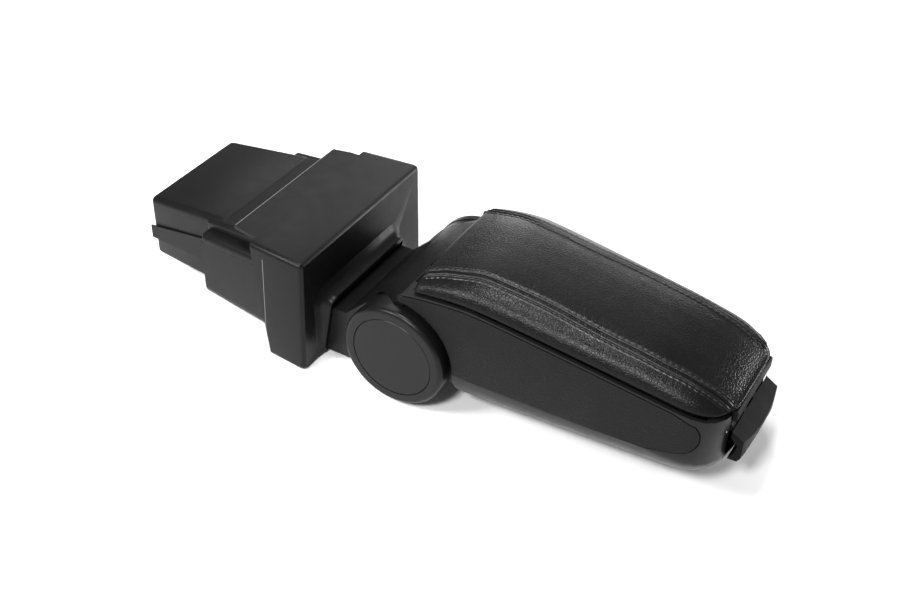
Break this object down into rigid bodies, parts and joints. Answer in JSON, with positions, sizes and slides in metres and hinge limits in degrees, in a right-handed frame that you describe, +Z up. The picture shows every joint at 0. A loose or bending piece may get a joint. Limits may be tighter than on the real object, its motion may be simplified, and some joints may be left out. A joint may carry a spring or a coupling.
{
  "type": "car centre armrest",
  "caption": "Padded car centre armrest with a lidded storage tub, tilting on a round-capped hinge from a tapered plug-in console adapter.",
  "frame": {"origin": "on the supporting surface, midway along the part's length, in the adapter's middle plane", "axes": "+X runs from the adapter's plug to the arm's tip, +Y is the object's left, +Z is up and the pad faces up"},
  "size_m": [0.481, 0.1612, 0.1212],
  "materials": {
    "adapter_plastic": "moulded black plastic with a light satin sheen",
    "arm_plastic": "satin black plastic",
    "grained_plastic": "black plastic with a leather grain",
    "lever_plastic": "matt black plastic",
    "leatherette": "soft black grained leatherette with topstitching",
    "steel": "zinc plated steel",
    "bush_plastic": "natural acetal",
    "felt": "short black felt"
  },
  "bodies": {
    "adapter": {"plug_shell": "adapter_plastic", "side_rail_left": "adapter_plastic", "side_rail_right": "adapter_plastic", "collar_shell": "adapter_plastic", "hood_shell": "adapter_plastic", "adapter_screws": "steel", "steel_bracket": "steel", "neck": "arm_plastic", "neck_bolts": "steel", "axle": "steel", "friction_washer_left": "steel", "friction_washer_right": "steel", "axle_nut_left": "steel", "axle_nut_right": "steel"},
    "arm": {"tub": "arm_plastic", "bush_left": "bush_plastic", "bush_right": "bush_plastic", "hinge_disc_left": "arm_plastic", "hinge_disc_right": "arm_plastic", "disc_inset_left": "arm_plastic", "disc_inset_right": "arm_plastic", "inlay_left": "grained_plastic", "inlay_right": "grained_plastic", "rear_cap": "grained_plastic", "cap_screws": "steel", "liner_mat": "felt", "lid_pins": "steel", "lever_pin": "steel", "lever_spring": "steel"},
    "lid": {"lid_pan": "lever_plastic", "pad": "leatherette", "pad_screws": "steel"},
    "lever": {"release_lever": "lever_plastic"}
  },
  "joints": [
    {"name": "arm_tilt", "type": "hinge", "parent": "adapter", "child": "arm", "pos_m": [-0.005, -0.008, 0.044], "axis": [0, 1, 0], "range_deg": [0, 90]},
    {"name": "lid_open", "type": "hinge", "parent": "arm", "child": "lid", "pos_m": [0.003, -0.008, 0.09502], "axis": [0, -1, 0], "range_deg": [0, 65]},
    {"name": "lever_pull", "type": "hinge", "parent": "arm", "child": "lever", "pos_m": [0.2245, -0.008, 0.0665], "axis": [0, -1, 0], "range_deg": [0, 12], "stiffness_Nm_per_rad": 0.08, "springref_deg": -8.59}
  ]
}
